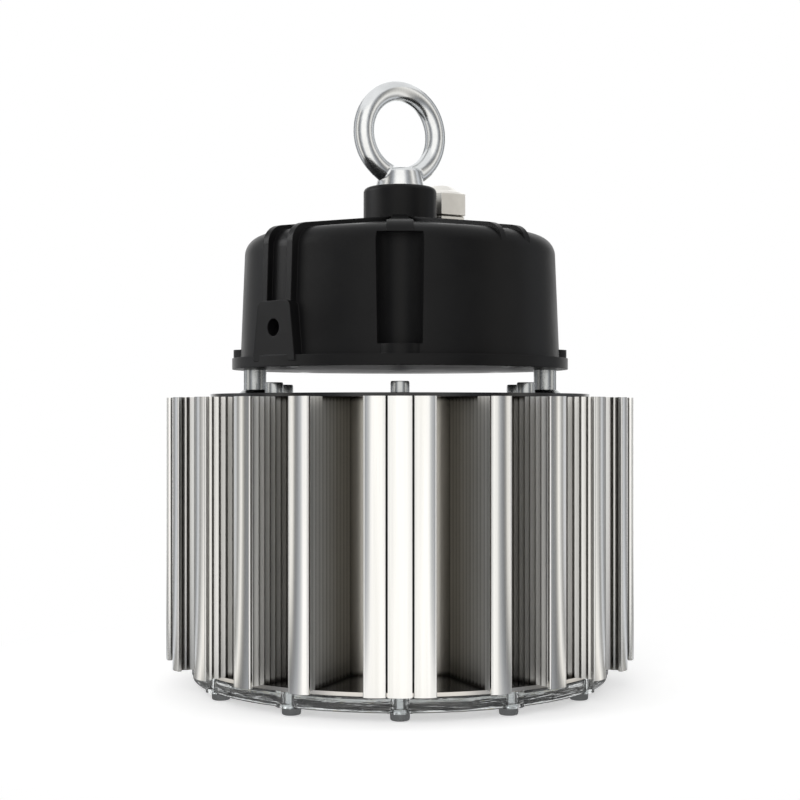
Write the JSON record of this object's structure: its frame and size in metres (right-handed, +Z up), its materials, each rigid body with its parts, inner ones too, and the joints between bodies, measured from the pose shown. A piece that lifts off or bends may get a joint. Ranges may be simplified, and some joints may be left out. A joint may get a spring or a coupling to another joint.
{
  "type": "high bay light",
  "caption": "Industrial high bay light: round ribbed star-shaped aluminium heat sink with a clear lower cover, hung under a black cast driver housing with an eye bolt.",
  "frame": {"origin": "on the light's axis, at the level of the undersides of the cover screws' heads, its lowest faces", "axes": "+Z up along the axis towards the eye bolt; -Y towards the front, where the housing's ridge runs down from the crown; +X to the right seen from the front"},
  "size_m": [0.265, 0.265, 0.3444],
  "materials": {
    "clear_cover": "clear moulded polycarbonate",
    "steel": "bright zinc-plated steel",
    "rubber_black": "matt black rubber",
    "black_sheet": "gloss black coating on aluminium sheet",
    "pad_grey": "soft grey thermal pad",
    "board_white": "white solder mask on aluminium",
    "led_yellow": "yellow phosphor",
    "aluminium_bare": "bare extruded aluminium, fine die lines",
    "black_casting": "satin black powder coat on die-cast aluminium",
    "board_green": "green circuit board",
    "ferrite": "sintered ferrite",
    "copper_coil": "lacquered copper wire",
    "capacitor_sleeve": "dark blue sleeve",
    "terminal_plastic": "green plastic",
    "zinc_steel": "bright zinc-plated forged steel",
    "nickel_brass": "nickel-plated brass"
  },
  "bodies": {
    "root": {"lens_cover": "clear_cover", "cover_screws": "steel", "cover_seal": "rubber_black", "base_plate": "black_sheet", "thermal_pad": "pad_grey", "led_board": "board_white", "led_chips": "led_yellow", "board_screws": "steel", "heat_sink": "aluminium_bare", "top_plate": "black_sheet", "top_plate_screws": "steel", "hanger_bolts": "steel", "hanger_washers": "steel", "hanger_spacers": "steel", "driver_housing": "black_casting", "driver_base_plate": "black_casting", "driver_plate_screws": "steel", "driver_seal": "rubber_black", "circuit_board": "board_green", "board_standoffs": "steel", "circuit_screws": "steel", "transformer_core": "ferrite", "transformer_winding": "copper_coil", "capacitors": "capacitor_sleeve", "choke": "copper_coil", "terminal_block": "terminal_plastic", "eye_bolt": "zinc_steel", "gland_washer": "rubber_black", "gland_body": "nickel_brass", "gland_cap": "nickel_brass", "gland_seal": "rubber_black", "gland_locknut": "nickel_brass"}
  },
  "joints": []
}
